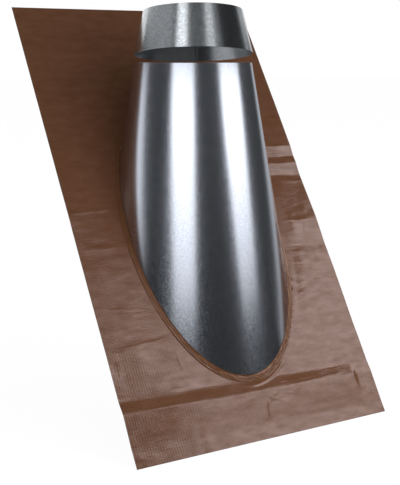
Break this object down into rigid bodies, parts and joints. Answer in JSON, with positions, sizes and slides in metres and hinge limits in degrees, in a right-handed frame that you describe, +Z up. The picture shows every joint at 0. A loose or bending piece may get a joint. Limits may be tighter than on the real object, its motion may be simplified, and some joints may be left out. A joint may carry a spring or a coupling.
{
  "type": "pitched roof flue flashing boot",
  "caption": "Oblique steel cone seamed into a malleable flashing sheet, with a loose storm collar, that carries a round flue through a steep pitched roof.",
  "frame": {"origin": "the point where the flue's axis meets the roof plane, which is the underside of the flashing sheet", "axes": "+Z up along the flue's axis; the roof rises towards +Y at 56 degrees from level; +X across the roof"},
  "size_m": [0.6, 0.5798, 0.8593],
  "materials": {
    "coated_sheet": "brown polymer coating, semi gloss",
    "zinc_steel": "hot-dip zinc, smooth, spangled"
  },
  "bodies": {
    "root": {"flashing_sheet": "coated_sheet", "flue_cone": "zinc_steel", "storm_collar": "zinc_steel"}
  },
  "joints": []
}
